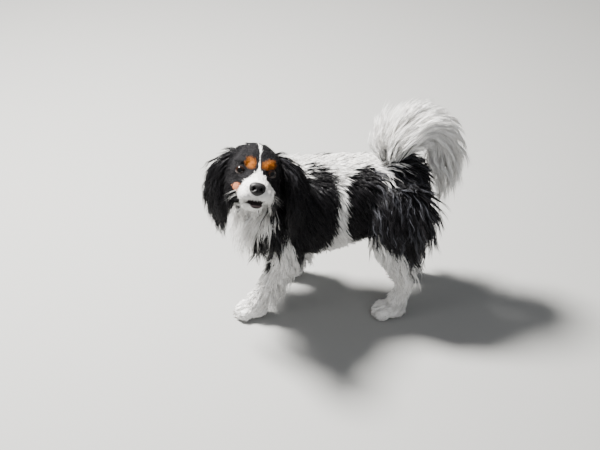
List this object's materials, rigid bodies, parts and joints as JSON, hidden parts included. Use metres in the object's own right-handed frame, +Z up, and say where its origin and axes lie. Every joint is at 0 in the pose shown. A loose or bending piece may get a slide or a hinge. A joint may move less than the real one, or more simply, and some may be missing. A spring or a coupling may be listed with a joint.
{
  "type": "cavalier king charles spaniel model",
  "caption": "Still, life-size tricolour cavalier king charles spaniel standing with its head turned to the side and its plumed tail arched over its back.",
  "frame": {"origin": "bottom centre of the figure's box, on the floor between the four feet", "axes": "+Z up, the trunk runs along X with the chest towards -X and the rump towards +X, the dog's left side towards -Y"},
  "size_m": [0.4592, 0.2638, 0.3891],
  "materials": {
    "coat_tricolour": "long silky coat in black and white patches",
    "coat_black": "long wavy black coat with a soft sheen",
    "coat_white": "long silky white coat",
    "nose_leather": "moist pebbled nose leather",
    "eye": "wet dark brown eye"
  },
  "bodies": {
    "root": {"ear_left": "coat_black", "ear_right": "coat_black", "eye_left": "eye", "eye_right": "eye", "foreleg_left": "coat_tricolour", "foreleg_right": "coat_tricolour", "head": "coat_tricolour", "hindleg_left": "coat_tricolour", "hindleg_right": "coat_tricolour", "jaw": "coat_white", "neck": "coat_black", "nose": "nose_leather", "paw_fore_left": "coat_white", "paw_fore_right": "coat_white", "paw_hind_left": "coat_white", "paw_hind_right": "coat_white", "tail_arch": "coat_white", "tail_plume": "coat_white", "tail_root": "coat_white", "torso": "coat_tricolour"}
  },
  "joints": []
}
